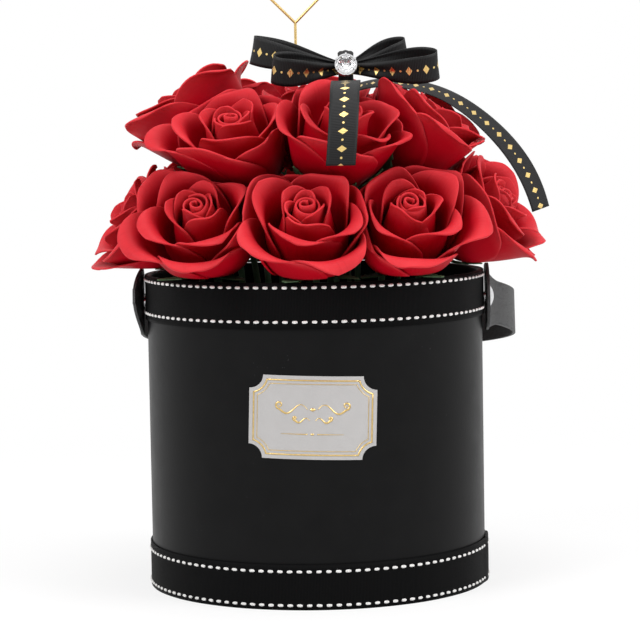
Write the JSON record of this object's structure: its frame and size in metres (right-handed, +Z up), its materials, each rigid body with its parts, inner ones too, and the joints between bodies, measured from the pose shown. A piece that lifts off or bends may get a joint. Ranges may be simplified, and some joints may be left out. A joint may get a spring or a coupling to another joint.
{
  "type": "flower box",
  "caption": "Round black flower box with stitched ribbon trims, strap handle and label, holding a dome of red roses, a ribbon bow on a stick and a wire card pick.",
  "frame": {"origin": "centre of the drum's base, on the surface it stands on", "axes": "+Z up along the drum's axis, -Y towards the front with the label, +X to the right"},
  "size_m": [0.2403, 0.2302, 0.3329],
  "materials": {
    "black_board": "matt",
    "black_grosgrain": "ribbed",
    "black_ribbon": "satin",
    "label_card": "matt",
    "floral_foam": "matt",
    "strap_leatherette": "satin",
    "rivet_steel": "polished",
    "green_plastic": "matt",
    "red_petal": "waxy",
    "clear_stone": "polished",
    "gold_metal": "polished"
  },
  "bodies": {
    "box": {"drum_wall": "black_board", "drum_base": "black_board", "top_trim": "black_grosgrain", "bottom_trim": "black_grosgrain", "label": "label_card", "foam": "floral_foam", "rivet_left": "rivet_steel", "rivet_right": "rivet_steel", "rivet_washers": "rivet_steel", "rose_stems": "green_plastic", "rose_bloom_01": "red_petal", "rose_bloom_02": "red_petal", "rose_bloom_03": "red_petal", "rose_bloom_04": "red_petal", "rose_bloom_05": "red_petal", "rose_bloom_06": "red_petal", "rose_bloom_07": "red_petal", "rose_bloom_08": "red_petal", "rose_bloom_09": "red_petal", "rose_bloom_10": "red_petal", "rose_bloom_11": "red_petal", "rose_bloom_12": "red_petal", "rose_bloom_13": "red_petal", "rose_bloom_14": "red_petal", "rose_bloom_15": "red_petal", "rose_bloom_16": "red_petal", "rose_bloom_17": "red_petal", "rose_calyx_01": "green_plastic", "rose_calyx_02": "green_plastic", "rose_calyx_03": "green_plastic", "rose_calyx_04": "green_plastic", "rose_calyx_05": "green_plastic", "rose_calyx_06": "green_plastic", "rose_calyx_07": "green_plastic", "rose_calyx_08": "green_plastic", "rose_calyx_09": "green_plastic", "rose_calyx_10": "green_plastic", "rose_calyx_11": "green_plastic", "rose_calyx_12": "green_plastic", "rose_calyx_13": "green_plastic", "rose_calyx_14": "green_plastic", "rose_calyx_15": "green_plastic", "rose_calyx_16": "green_plastic", "rose_calyx_17": "green_plastic"},
    "handle": {"handle_strap": "strap_leatherette"},
    "bow": {"bow_loop_left_back": "black_ribbon", "bow_loop_left_front": "black_ribbon", "bow_loop_right_back": "black_ribbon", "bow_loop_right_front": "black_ribbon", "bow_tail_front": "black_ribbon", "bow_tail_side": "black_ribbon", "bow_knot": "black_ribbon", "bow_stone": "clear_stone", "bow_stone_setting": "gold_metal", "bow_stick": "green_plastic"},
    "card_pick": {"card_pick": "gold_metal"}
  },
  "joints": [
    {"name": "handle_swing", "type": "hinge", "parent": "box", "child": "handle", "pos_m": [0, 0, 0.152], "axis": [1, 0, 0], "range_deg": [-10, 16]},
    {"name": "bow_lift", "type": "slide", "parent": "box", "child": "bow", "axis": [0, 0, 1], "range_m": [0, 0.06]},
    {"name": "card_pick_pull", "type": "slide", "parent": "box", "child": "card_pick", "axis": [0, 0, 1], "range_m": [0, 0.06]}
  ]
}
